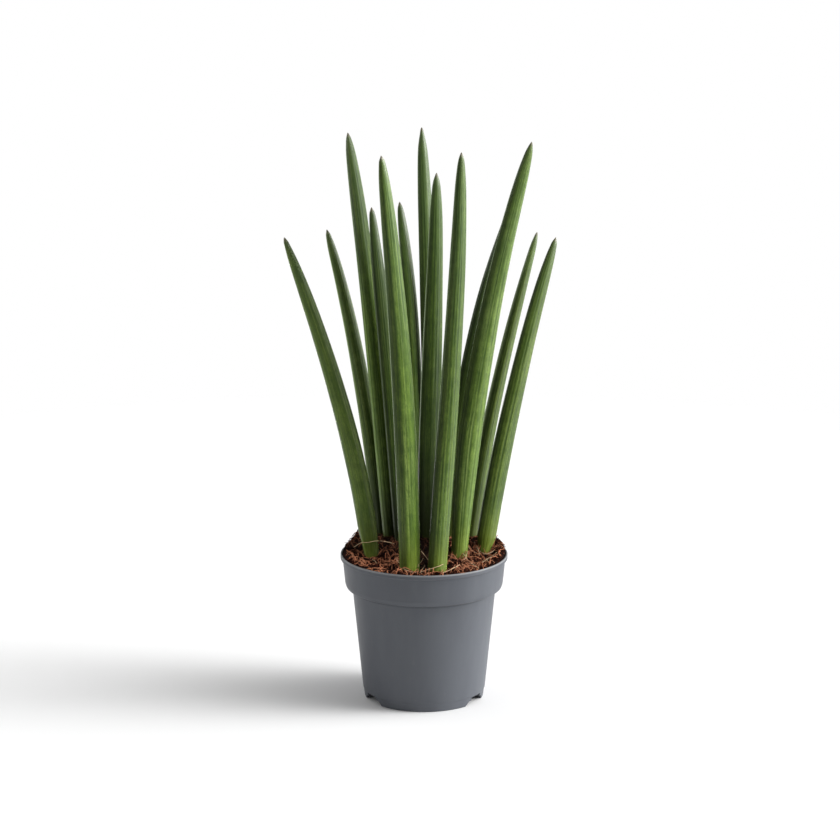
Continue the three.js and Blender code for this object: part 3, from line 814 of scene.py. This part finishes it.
POT_PROFILE = [
    (0, 5.0, 0),
    (40.9, 5.0, 0.5),
    (41.1, 0.0, 0.35),
    (42.9, 0.0, 0.45),
    (43.7, 5.9, 0.5),
    (44.15, 6.9, 0.6),
    (51.55, 80.9, 0.5),
    (52.6, 81.35, 0.4),
    (55.9, 82.0, 1.5),
    (56.75, 85.0, 3.0),
    (58.45, 102.2, 0.5),
    (60.0, 102.75, 0.55),
    (60.0, 106.0, 0.50),
    (58.95, 106.0, 0.42),
    (58.65, 104.6, 0.6),
    (57.35, 99.0, 0.8),
    (55.6, 84.4, 0.6),
    (50.9, 79.6, 0.8),
    (43.35, 9.3, 0.8),
    (40.9, 6.3, 0.9),
    (0, 6.3, 0),
]


def cut_box(angle, r0, r1, w0, w1, z0, z1):
    """A block centred at an angle from the front; w0 wide at z0 and w1 wide at z1."""
    a = math.radians(angle)
    out = np.array([math.sin(a), -math.cos(a)])
    side = np.array([math.cos(a), math.sin(a)])
    co = []
    for z, w in ((z0, w0), (z1, w1)):
        for r, s in ((r0, -1), (r1, -1), (r1, 1), (r0, 1)):
            xy = out * r + side * s * w / 2
            co.append([xy[0], xy[1], z])
    return np.array(co), np.array(
        [[3, 2, 1, 0], [4, 5, 6, 7], [0, 1, 5, 4], [1, 2, 6, 5], [2, 3, 7, 6], [3, 0, 4, 7]]
    )


def cut_round(x, y, r, z0, z1, n=32):
    th = np.arange(n) / n * 2 * math.pi
    ring = np.stack([x + r * np.cos(th), y + r * np.sin(th)], -1)
    co = np.vstack(
        [np.c_[ring, np.full(n, z0)], np.c_[ring, np.full(n, z1)], [[x, y, z0], [x, y, z1]]]
    )
    j = np.arange(n)
    k = (j + 1) % n
    quads = np.stack([j, k, n + k, n + j], -1)
    tris = np.vstack([np.stack([k, j, np.full_like(j, 2 * n)], -1), np.stack([n + j, n + k, np.full_like(j, 2 * n + 1)], -1)])
    return co, quads, tris


def cut(ob, cutter):
    """Takes the cutter's volume out of ob, for good."""
    mod = ob.modifiers.new("cut", "BOOLEAN")
    mod.operation = "DIFFERENCE"
    mod.solver = "EXACT"
    mod.object = cutter
    deps = bpy.context.evaluated_depsgraph_get()
    made = bpy.data.meshes.new_from_object(ob.evaluated_get(deps), depsgraph=deps)
    ob.modifiers.clear()
    old = ob.data
    ob.data = made
    made.name = ob.name
    bpy.data.meshes.remove(old)
    bpy.data.objects.remove(cutter)


profile = filleted(POT_PROFILE)
# long straight stretches get rings of their own
dense = [profile[0]]
for p, q in zip(profile[:-1], profile[1:]):
    steps = max(1, int(np.linalg.norm(q - p) // 7))
    dense += [p + (q - p) * (k + 1) / steps for k in range(steps)]
co, quads, tris = lathe(np.array(dense), 240)
pot = build_mesh("pot_shell", co, quads, tris)
gap_w = 2 * 42.9 * math.sin(math.radians(14.5))
drain_w = 2 * 42.9 * math.sin(math.radians(8))
for centre in (59.5, 179.5, 299.5):
    for spec in (
        (34, 50, gap_w + 2 + 1.8, gap_w - 5, -1.0, 3.3),
        (40.4, 50, drain_w, drain_w, -1.2, 5.7),
        (35.5, 41.9, drain_w - 0.02, drain_w - 0.02, -1.4, 7.3),
    ):
        box_co, box_quads = cut_box(centre, *spec)
        cut(pot, build_mesh("cutter", box_co, box_quads, smooth=False))
for k in range(7):
    a = math.radians(29.5 + 60 * (k - 1))
    ring = 0.0 if k == 0 else 26.0
    hole = cut_round(ring * math.sin(a), -ring * math.cos(a), 4.0 if k == 0 else 3.4, 2.0, 9.0)
    cut(pot, build_mesh("cutter", *hole, smooth=False))
pot.data.polygons.foreach_set("use_smooth", np.full(len(pot.data.polygons), True))
pot.data.set_sharp_from_angle(angle=math.radians(38))

m = Mat("pot_plastic_grey")
where = m.coords()
mould = m.noise(m.vmul(where, (60, 60, 14)), 1.0, 3.0, 0.5)
speck = m.noise(m.vmul(where, (900, 900, 900)), 1.0, 2.0, 0.5)
dust = m.noise(m.vmul(where, (230, 230, 90)), 1.0, 4.0, 0.65)
color = m.mix(m.ramp(mould, 0.35, 0.65), (0.077, 0.084, 0.099), (0.087, 0.095, 0.110))
color = m.mix(m.ramp(dust, 0.58, 0.80, 0.0, 0.22), color, (0.135, 0.141, 0.150))
# a few short rubs and drips of dried water, here and there over the pot
rub = m.noise(m.vmul(where, (95, 95, 420)), 1.0, 3.0, 0.7)
color = m.mix(m.ramp(rub, 0.67, 0.82, 0.0, 0.30), color, (0.155, 0.160, 0.168))
# painted shade in the crease under the band, and a painted highlight along the top of the rim
height = m.sep(where)[2]
# painted shade: a dark line just under the band's lower edge
crease_shade = m.math("MULTIPLY", m.ramp(height, 0.0790, 0.0803), m.ramp(height, 0.0812, 0.0818, 1.0, 0.0))
color = m.mix(m.math("MULTIPLY", crease_shade, 0.5), color, (0.030, 0.033, 0.038))
# painted highlight: the top of the rim paler, as if lit from above
color = m.mix(m.ramp(height, 0.1047, 0.1053, 0.0, 0.55), color, (0.330, 0.335, 0.340))
rough = m.math("ADD", 0.41, m.math("MULTIPLY", dust, 0.12))
rough = m.math("ADD", rough, m.math("MULTIPLY", speck, 0.05))
n = m.bump(speck, 0.00006, 0.35)
n = m.bump(mould, 0.0005, 0.20, n)
pot.data.materials.append(m.finish(color, rough, n, **{"Specular_IOR_Level": 0.5}))
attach(pot, "root")
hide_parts("nursery_pot")

# ------------------------------------------------------------------ potting mix, its body
rings = np.concatenate([np.linspace(0.8, 50, 74), np.linspace(50.6, 58.2, 16)])
around = 288
th = np.arange(around) / around * 2 * math.pi
X, Y = rings[:, None] * np.sin(th), -rings[:, None] * np.cos(th)
Z = mix_detail(X.ravel(), Y.ravel()).reshape(X.shape)
top = np.stack([X, Y, Z], -1)[::-1]  # from the rim inwards
skirt = []
for r, z in ((40.0, 6.6), (43.0, 9.6), (50.5, 79.4), (54.8, 84.8), (56.9, 98.0)):
    skirt.append(np.stack([r * np.sin(th), -r * np.cos(th), np.full(around, z)], -1))
body = np.concatenate([np.array(skirt), top])
centre_z = mix_detail(np.zeros(1), np.zeros(1))[0]
co = np.vstack([body.reshape(-1, 3), [[0, 0, 6.6], [0, 0, centre_z]]])
rows = len(body)
quads = grid_faces(rows, around)
j = np.arange(around)
k = (j + 1) % around
low = np.stack([k, j, np.full_like(j, rows * around)], -1)
high = np.stack([(rows - 1) * around + j, (rows - 1) * around + k, np.full_like(j, rows * around + 1)], -1)
# painted shade from the mix's shade mask, carried on the body's strand attribute
painted_shade = np.c_[np.zeros((len(co), 2)), mix_painted_shade(co[:, 0], co[:, 1])]
mix_body = build_mesh("mix_body", co, quads, np.vstack([low, high]), {"strand": painted_shade})

m = Mat("mix_body_coir")
where = m.coords()
grain = m.noise(m.vmul(where, (520, 520, 520)), 1.0, 5.0, 0.68)
clump = m.noise(m.vmul(where, (150, 150, 150)), 1.0, 3.0, 0.6)
strand = m.noise(m.vmul(where, (260, 1100, 500)), 1.0, 3.0, 0.6, 2.5)
color = m.mix(m.ramp(clump, 0.38, 0.62), (0.0022, 0.0006, 0.0002), (0.0120, 0.0022, 0.0006))
color = m.mix(m.ramp(grain, 0.52, 0.68, 0.0, 0.60), color, (0.0360, 0.0070, 0.0020))
color = m.mix(m.ramp(strand, 0.62, 0.74, 0.0, 0.5), color, (0.0700, 0.0230, 0.0090))
# painted shade: the mix darkened by the shade mask, among the leaf bases where the leaves shade it
color = m.mix(m.math("MULTIPLY", m.sep(m.attr("strand"))[2], 0.92), color, (0.0025, 0.0010, 0.0005))
n = m.bump(m.math("ADD", grain, m.math("MULTIPLY", strand, 0.6)), 0.0012, 0.9)
mix_body.data.materials.append(m.finish(color, m.ramp(grain, 0.3, 0.7, 0.82, 0.97), n, **{"Specular_IOR_Level": 0.06}))
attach(mix_body, "root")
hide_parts("potting_mix")


# ------------------------------------------------------------------ fibres, chips and crumbs
def clear_of_plant(P, gap=0.25):
    """True for each row of paths P (n, k, 3) that stays out of the leaves and the pot."""
    pts = P.reshape(-1, 3)
    ok = np.ones(len(pts), bool)
    for leaf in leaves.values():
        c, r = leaf.at_height(pts[:, 2])
        ok &= np.hypot(pts[:, 0] - c[:, 0], pts[:, 1] - c[:, 1]) > r * 1.02 + gap
    r = np.hypot(pts[:, 0], pts[:, 1])
    ok &= (r < 58.0) | ((pts[:, 2] > 106.7) & (r < 59.6))
    return ok.reshape(P.shape[:2]).all(1)


def tubes(name, P, radius, tint, sides=3, ends=0.45):
    """One mesh of many thin tubes along the paths P (n, k, 3)."""
    n, k, _ = P.shape
    tan = np.gradient(P, axis=1)
    tan /= np.maximum(np.linalg.norm(tan, axis=2, keepdims=True), 1e-9)
    ref = np.where(np.abs(tan[..., 2:3]) > 0.9, np.array([1.0, 0, 0]), np.array([0, 0, 1.0]))
    side = np.cross(tan, ref)
    side /= np.linalg.norm(side, axis=2, keepdims=True)
    up = np.cross(side, tan)
    taper = np.ones(k)
    taper[0] = taper[-1] = ends
    R = np.asarray(radius)[:, None] * taper[None, :]
    th = np.arange(sides) / sides * 2 * math.pi
    co = P[:, :, None] + R[..., None, None] * (
        np.cos(th)[:, None] * side[:, :, None] + np.sin(th)[:, None] * up[:, :, None]
    )
    a = (np.arange(n)[:, None, None] * k + np.arange(k - 1)[None, :, None]) * sides
    j = np.arange(sides)[None, None, :]
    q = np.stack([a + j, a + (j + 1) % sides, a + sides + (j + 1) % sides, a + sides + j], -1)
    caps = []
    for i in range(1, sides - 1):
        first = np.arange(n) * k * sides
        last = first + (k - 1) * sides
        caps.append(np.stack([first, first + i + 1, first + i], -1))
        caps.append(np.stack([last, last + i, last + i + 1], -1))
    along = np.broadcast_to(np.linspace(0, 1, k)[None, :, None], co.shape[:3])
    # painted shade from the mix's shade mask, left off the palest strands
    painted_shade = np.broadcast_to(mix_painted_shade(P[..., 0], P[..., 1])[..., None] * (np.asarray(tint) < 0.85)[:, None, None], co.shape[:3])
    marks = np.stack([np.broadcast_to(np.asarray(tint)[:, None, None], co.shape[:3]), along, painted_shade], -1)
    return build_mesh(name, co.reshape(-1, 3), q.reshape(-1, 4), np.vstack(caps), {"strand": marks.reshape(-1, 3)})


def scatter(rng, n, k, length, lift, sink=0.1, spread=1.0, centre=(0, 0), within=56.8, bend=1.5):
    """Paths lying over the mix, each with its own heading, curl and rise."""
    a = rng.uniform(0, 2 * math.pi, n)
    r = within * np.sqrt(rng.uniform(0, 1, n)) ** spread
    head = rng.uniform(0, 2 * math.pi, n)
    ln = rng.uniform(*length, n)
    turn = rng.normal(0, bend, n)
    t = np.linspace(0, 1, k)
    ang = head[:, None] + turn[:, None] * (t - 0.5) + rng.normal(0, 0.25, (n, k)).cumsum(1) * 0.6
    step = (ln / (k - 1))[:, None]
    x = centre[0] + (r * np.sin(a))[:, None] + (np.cos(ang) * step).cumsum(1) - ln[:, None] / 2 * np.cos(head)[:, None]
    y = centre[1] - (r * np.cos(a))[:, None] + (np.sin(ang) * step).cumsum(1) - ln[:, None] / 2 * np.sin(head)[:, None]
    z = mix_detail(x.ravel(), y.ravel()).reshape(x.shape)
    z = 0.55 * z + 0.45 * z.mean(1, keepdims=True)
    z = np.maximum(z, mix_detail(x.ravel(), y.ravel()).reshape(x.shape) - 0.5)
    rise = np.abs(rng.normal(0, lift, n))[:, None]
    tilt = rng.normal(0, lift * 0.6, n)[:, None]
    z = z - sink + rise * np.sin(math.pi * t) + tilt * (t - 0.5) + rng.uniform(-0.2, 0.5, n)[:, None]
    return np.stack([x, y, z], -1)


def fibre_material(name):
    m = Mat(name)
    s = m.sep(m.attr("strand"))
    where = m.coords()
    n1 = m.noise(m.vmul(where, (420, 420, 420)), 1.0, 3.0, 0.6)
    t = m.math("ADD", s[0], m.math("MULTIPLY", m.math("SUBTRACT", n1, 0.5), 0.35))
    color = m.mix(m.ramp(t, 0.10, 0.42), (0.0032, 0.0006, 0.0002), (0.0270, 0.0048, 0.0014))
    color = m.mix(m.ramp(t, 0.50, 0.76), color, (0.330, 0.126, 0.066))
    color = m.mix(m.ramp(t, 0.80, 1.00), color, (0.330, 0.240, 0.150))
    # painted shade: fibres, chips and crumbs darkened by the mix's shade mask, where the leaves shade the mix
    color = m.mix(m.math("MULTIPLY", s[2], 0.92), color, (0.0030, 0.0012, 0.0006))
    fine = m.noise(m.vmul(where, (2200, 2200, 2200)), 1.0, 2.0, 0.5)
    return m.finish(color, m.ramp(fine, 0.3, 0.7, 0.62, 0.84), m.bump(fine, 0.0001, 0.6), **{"Specular_IOR_Level": 0.06})


fibre_mat = fibre_material("coir_fibre")


def lay_fibres(name, rng, *groups):
    """groups: count, lengths, rise, sink, radii, tint shape (a, b)."""
    paths, tints, sizes = [], [], []
    for count, lengths, rise, sink, girths, (a, b) in groups:
        P = scatter(rng, count, 7, lengths, rise, sink)
        P = P[clear_of_plant(P)]
        paths.append(P)
        tints.append(np.clip(rng.beta(a, b, len(P)), 0, 0.82))
        sizes.append(rng.uniform(*girths, len(P)))
    ob = tubes(name, np.concatenate(paths), np.concatenate(sizes), np.concatenate(tints))
    ob.data.materials.append(fibre_mat)
    return ob


rng = np.random.default_rng(SEED + 5)
fibres = lay_fibres("mix_fibres", rng, (2500, (4, 11), 0.7, 0.25, (0.13, 0.28), (0.9, 2.6)), (560, (4, 10), 1.5, 0.0, (0.17, 0.31), (1.0, 1.5)))
curls = lay_fibres("mix_curls", rng, (390, (4, 12), 1.7, -0.5, (0.19, 0.33), (3.2, 0.9)), (420, (3, 9), 2.0, -0.8, (0.15, 0.22), (6.0, 0.5)))

# strands wound round the foot of each leaf, and the torn sheath that stands against it
collar, tint = [], []
for number, leaf in enumerate(leaves.values(), 1):
    torn = number in (11, 13)
    for n in range(54 if torn else 26):
        k = 7
        arc = rng.uniform(0.5, 2.2)
        a = rng.uniform(0, 2 * math.pi) + np.linspace(0, arc, k)
        c0, r0 = leaf.at_height(np.array([106.0]))
        off = r0[0] + rng.uniform(0.35, 2.6) + rng.uniform(0, 1.2) * np.linspace(0, 1, k)
        lift = rng.uniform(-0.2, 1.1) + 0.5 * np.sin(np.linspace(0, math.pi, k))
        if torn and n % 3:
            # short upright strands hugging the leaf
            a = a[0] + 0.5 * rng.normal() * np.linspace(0, 1, k)
            lift = np.linspace(-0.8, rng.uniform(1.5, 6.0), k)
            off = r0[0] + 0.45 + rng.uniform(0, 0.6) + 0.9 * rng.uniform(0, 1) * np.linspace(0, 1, k) ** 2
        x, y = c0[0, 0] + off * np.cos(a), c0[0, 1] + off * np.sin(a)
        z = mix_detail(x, y) + lift
        c, r = leaf.at_height(z)
        collar.append(np.stack([x + c[:, 0] - c0[0, 0], y + c[:, 1] - c0[0, 1], z], -1))
        tint.append(rng.uniform(0.55, 0.80) if torn else np.clip(rng.beta(2.4, 2.0), 0, 0.84))
P, tint = np.array(collar), np.array(tint)
ok = clear_of_plant(P, 0.2)
P, tint = P[ok], tint[ok]
collars = tubes("mix_leaf_collars", P, rng.uniform(0.12, 0.28, len(P)), tint, 4)
collars.data.materials.append(fibre_mat)

# the long pale strands that lie on top
PALE = [
    ([(-50.7, 2, 109.2), (-49.1, -1, 111.2), (-45.1, -6.5, 115), (-39.4, -8.3, 115.9), (-34.4, -6, 116.3), (-28.8, 2, 113.7), (-23.1, 8, 110.9), (-20.2, 10, 108.9)], 0.36),
    ([(-20.3, -22, 107.9), (-16.4, -33, 106.2), (-13.7, -39, 104.7), (-10.7, -42, 104.4), (-5, -43.5, 103.4), (-1.5, -44, 103)], 0.42),
    ([(-4.3, -45, 103.4), (-2.2, -45.2, 104.6), (4.8, -46.6, 107.5), (11.2, -46.3, 109.6), (14, -42, 109.9)], 0.38),
    ([(11.2, -48, 104.1), (12.6, -47.5, 104.6), (17.5, -46, 106), (22.1, -42, 107.4), (25.4, -38, 108)], 0.36),
    ([(27.8, -14, 109.7), (30, -14.5, 106.3), (31.9, -24, 106.1), (35.4, -30, 105.4), (39.2, -36, 104.5)], 0.34),
    ([(36.1, 20, 108.6), (37.6, 12, 107.9), (38.9, 4, 107.2), (40.2, -3, 106)], 0.34),
    ([(31.7, 6, 109.2), (33.7, 0, 107.9), (36.6, -2, 107), (40.1, -6, 105.9)], 0.32),
    ([(40.3, 3, 106.3), (41.7, 1, 105.4), (45.3, 0, 105), (48.9, 2, 105.9), (51.1, 6, 106.6)], 0.34),
    ([(52.3, -4, 107.6), (50.9, -6, 106.7), (47.9, -11, 105.9), (44.2, -17, 105.3), (41.2, -22, 104.9)], 0.3),
    ([(44.3, -13, 105.3), (44.9, -16, 105.1), (46.2, -21, 104.6), (47.6, -26, 104.2)], 0.3),
    ([(-37.2, -14, 104.9), (-35, -17, 104.6), (-33.5, -24, 103.7), (-32.7, -33, 102.9)], 0.32),
    ([(-0.8, -30, 110.5), (-1.8, -32, 108.9), (-3.6, -35, 107.6), (-4.3, -38, 106.2)], 0.3),
    ([(0.6, -33, 106.2), (-0.1, -37, 105.9), (-1.5, -42, 105.5), (-2.2, -45, 104.9)], 0.3),
    ([(-2.2, -14, 111.2), (-0.8, -17, 110.5), (1, -22, 109.4), (2.8, -28, 108.5)], 0.28),
    ([(31.5, -8, 109.5), (30.7, -11, 108.1), (29.6, -15, 106.6), (28.5, -19, 105.9)], 0.28),
    ([(47.9, 24, 107.9), (49.9, 16, 107.9), (51.9, 9, 108)], 0.32),
    ([(53, 22, 108.1), (54.8, 8, 107.9), (55.8, -7, 107.7)], 0.32),
]
paths, radii = [], []
for line, r in PALE:
    c = centre_line(line, 12)
    s = np.concatenate([[0], np.cumsum(np.linalg.norm(np.diff(c, axis=0), axis=1))])
    u = np.linspace(0, s[-1], 22)
    paths.append(np.stack([np.interp(u, s, c[:, i]) for i in range(3)], -1))
    radii.append(0.60 * r)
P = np.array(paths)
wobble = np.stack([noise3(np.stack([P[..., i].ravel() / 4.0, P[..., 1].ravel() / 5, np.full(P[..., 0].size, 9.0 * i)], -1), 60 + i).reshape(P.shape[:2]) for i in range(3)], -1)
P = P + 0.22 * wobble
pale = tubes("mix_pale_strands", P, radii, np.linspace(1.05, 1.20, len(P)), 7, 0.3)
pale.data.materials.append(fibre_mat)


# the split end of an old leaf sheath at the left of the rim
t = np.linspace(0, 1, 12)[:, None]
blades = []
for dx, dz, reach in ((0.0, 0.0, 1.0), (-0.7, -0.6, 0.82), (0.8, -0.4, 0.66), (-1.5, -1.2, 0.55), (1.6, -1.0, 0.42)):
    foot = np.array([-50.8 + dx, 25.0, 104.5 + dz])
    head = foot + (np.array([-47.5 + 0.3 * dx, 25.4, 116.4]) - foot) * reach
    blades.append(foot + (head - foot) * t + np.array([-0.9, 0.2, 0]) * np.sin(math.pi * t) ** 1.0)
sheath = tubes("mix_old_sheath", np.array(blades), [0.85, 0.75, 0.8, 0.7, 0.7], [0.05, 0.12, 0.02, 0.2, 0.1], 7, 0.35)
sheath.data.materials.append(fibre_mat)


def chips(name, rng, n, size, flat, tint_range, subdiv=False):
    """Irregular bits of husk, each a bent and jittered ball, lying over the mix."""
    bm = bmesh.new()
    bmesh.ops.create_icosphere(bm, subdivisions=2 if subdiv else 1, radius=1.0)
    base = np.array([v.co[:] for v in bm.verts])
    faces = np.array([[v.index for v in f.verts] for f in bm.faces])
    bm.free()
    a = rng.uniform(0, 2 * math.pi, n)
    r = 57.2 * np.sqrt(rng.uniform(0, 1, n))
    c = np.stack([r * np.sin(a), -r * np.cos(a)], -1)
    z = mix_detail(c[:, 0], c[:, 1])
    pos = np.c_[c, z + rng.uniform(-0.25, 0.35, n)]
    ok = clear_of_plant(pos[:, None], 0.5 * size[1])
    pos = pos[ok]
    n = len(pos)
    s = rng.uniform(*size, (n, 1)) * np.stack([rng.uniform(0.7, 1.7, n), rng.uniform(0.5, 1.0, n), rng.uniform(*flat, n)], -1)
    quat = rng.normal(size=(n, 4))
    quat[:, 1:3] *= 0.45
    quat /= np.linalg.norm(quat, axis=1)[:, None]
    w, x, y, zz = quat.T
    rot = np.stack(
        [
            np.stack([1 - 2 * (y * y + zz * zz), 2 * (x * y - w * zz), 2 * (x * zz + w * y)], -1),
            np.stack([2 * (x * y + w * zz), 1 - 2 * (x * x + zz * zz), 2 * (y * zz - w * x)], -1),
            np.stack([2 * (x * zz - w * y), 2 * (y * zz + w * x), 1 - 2 * (x * x + y * y)], -1),
        ],
        1,
    )
    shape = base[None] * s[:, None] * (1 + rng.uniform(-0.28, 0.28, (n, len(base), 1)))
    co = np.einsum("nij,nkj->nki", rot, shape) + pos[:, None]
    f = (faces[None] + np.arange(n)[:, None, None] * len(base)).reshape(-1, 3)
    t = np.broadcast_to(rng.uniform(*tint_range, n)[:, None], (n, len(base)))
    # painted shade from the mix's shade mask
    painted_shade = np.broadcast_to(mix_painted_shade(pos[:, 0], pos[:, 1])[:, None], t.shape)
    marks = np.stack([t, np.zeros_like(t), painted_shade], -1).reshape(-1, 3)
    ob = build_mesh(name, co.reshape(-1, 3), (), f, {"strand": marks}, smooth=False)
    ob.data.materials.append(fibre_mat)
    return ob


husk = chips("mix_husk_chips", np.random.default_rng(SEED + 7), 1500, (0.45, 1.35), (0.25, 0.7), (0.0, 0.40))
crumbs = chips("mix_crumbs", np.random.default_rng(SEED + 8), 2400, (0.22, 0.55), (0.5, 1.0), (0.0, 0.50))
for ob in (fibres, curls, collars, pale, sheath, husk, crumbs):
    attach(ob, "root")
    mix_lit.objects.link(ob)
mix_lit.objects.link(mix_body)

# ------------------------------------------------------------------ floor
radii = np.concatenate([[0.0], np.linspace(40, 1300, 64)])
co, quads, tris = lathe(np.stack([radii, np.full(len(radii), -0.1)], -1), 96)
floor = build_mesh("studio_floor", co, quads[:, ::-1], tris[:, ::-1])
m = Mat("studio_floor_white")
where = m.coords()
tone = m.noise(m.vmul(where, (0.7, 0.7, 0.7)), 1.0, 3.0, 0.5)
reach = m.t.nodes.new("ShaderNodeVectorMath")
reach.operation = "LENGTH"
m.put(reach.inputs[0], where)
m.put(m.bsdf.inputs["Alpha"], m.ramp(reach.outputs["Value"], FLOOR_FADE[0], FLOOR_FADE[1], 1.0, 0.0))
floor.data.materials.append(
    m.finish(m.mix(tone, (0.925, 0.925, 0.925), (0.935, 0.935, 0.935)), 0.9, None, **{"Specular_IOR_Level": 0.0})
)

bpy.context.view_layer.update()
